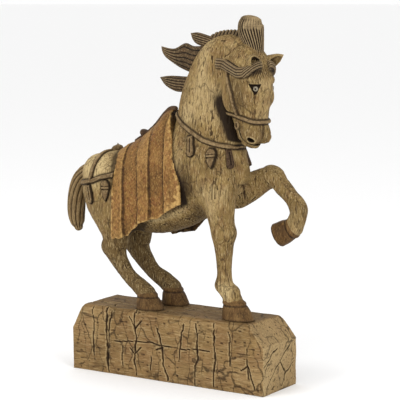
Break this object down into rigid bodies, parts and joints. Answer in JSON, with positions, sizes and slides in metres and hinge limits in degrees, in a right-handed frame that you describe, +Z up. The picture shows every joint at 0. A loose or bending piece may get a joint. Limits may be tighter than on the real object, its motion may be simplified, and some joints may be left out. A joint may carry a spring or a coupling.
{
  "type": "carved horse figurine",
  "caption": "Carved wooden prancing horse with one foreleg raised, draped saddle cloth and harness, dowelled to a long chamfered plinth; a standing ornament.",
  "frame": {"origin": "centre of the plinth's flat underside, where it rests", "axes": "+X the way the horse's body faces, +Y to the horse's left, +Z up from the plinth"},
  "size_m": [0.3184, 0.0962, 0.424],
  "materials": {
    "painted_wood": "rubbed cream-tan paint over wood, matt, worn through along the grain",
    "carved_hair": "dark brown paint with pale rubbed strands, matt",
    "gilded_cloth": "worn orange-brown gilt paint, low sheen",
    "saddle_brown": "dark brown paint, matt",
    "hoof_brown": "brown stain, matt",
    "harness_paint": "tan paint with dark edges, matt",
    "eye_bead": "pale grey paint with a dark pupil, low sheen",
    "plinth_wood": "weathered tan wood with dark drying cracks, matt",
    "dowel_wood": "plain turned wood, matt"
  },
  "bodies": {
    "root": {"trunk": "painted_wood", "neck": "painted_wood", "head": "painted_wood", "right_foreleg": "painted_wood", "left_forearm": "painted_wood", "left_fore_cannon": "painted_wood", "right_hind_leg": "painted_wood", "left_hind_leg": "painted_wood", "right_ear": "painted_wood", "left_ear": "painted_wood", "tail": "carved_hair", "mane_crest": "carved_hair", "mane_tuft_lower": "carved_hair", "mane_tuft_middle": "carved_hair", "mane_tuft_upper": "carved_hair", "topknot": "carved_hair", "forelock": "carved_hair", "saddle_cloth_right": "gilded_cloth", "saddle_cloth_left": "gilded_cloth", "saddle": "saddle_brown", "right_fore_hoof": "hoof_brown", "left_fore_hoof": "hoof_brown", "right_hind_hoof": "hoof_brown", "left_hind_hoof": "hoof_brown", "collar_strap": "harness_paint", "crupper_straps": "harness_paint", "cheek_straps": "harness_paint", "noseband": "harness_paint", "bit_rings": "harness_paint", "shoulder_tags": "harness_paint", "shoulder_drops": "harness_paint", "breast_tags": "harness_paint", "crupper_drops": "harness_paint", "crupper_tassels": "harness_paint", "rump_ornament": "harness_paint", "right_eye": "eye_bead", "left_eye": "eye_bead", "plinth": "plinth_wood", "neck_dowels": "dowel_wood", "leg_dowels": "dowel_wood", "hoof_pins": "dowel_wood", "knee_dowel": "dowel_wood", "tail_peg": "dowel_wood", "head_dowel": "dowel_wood", "raised_hoof_pin": "dowel_wood", "knob_peg": "dowel_wood", "mane_pegs": "dowel_wood", "topknot_peg": "dowel_wood"}
  },
  "joints": []
}
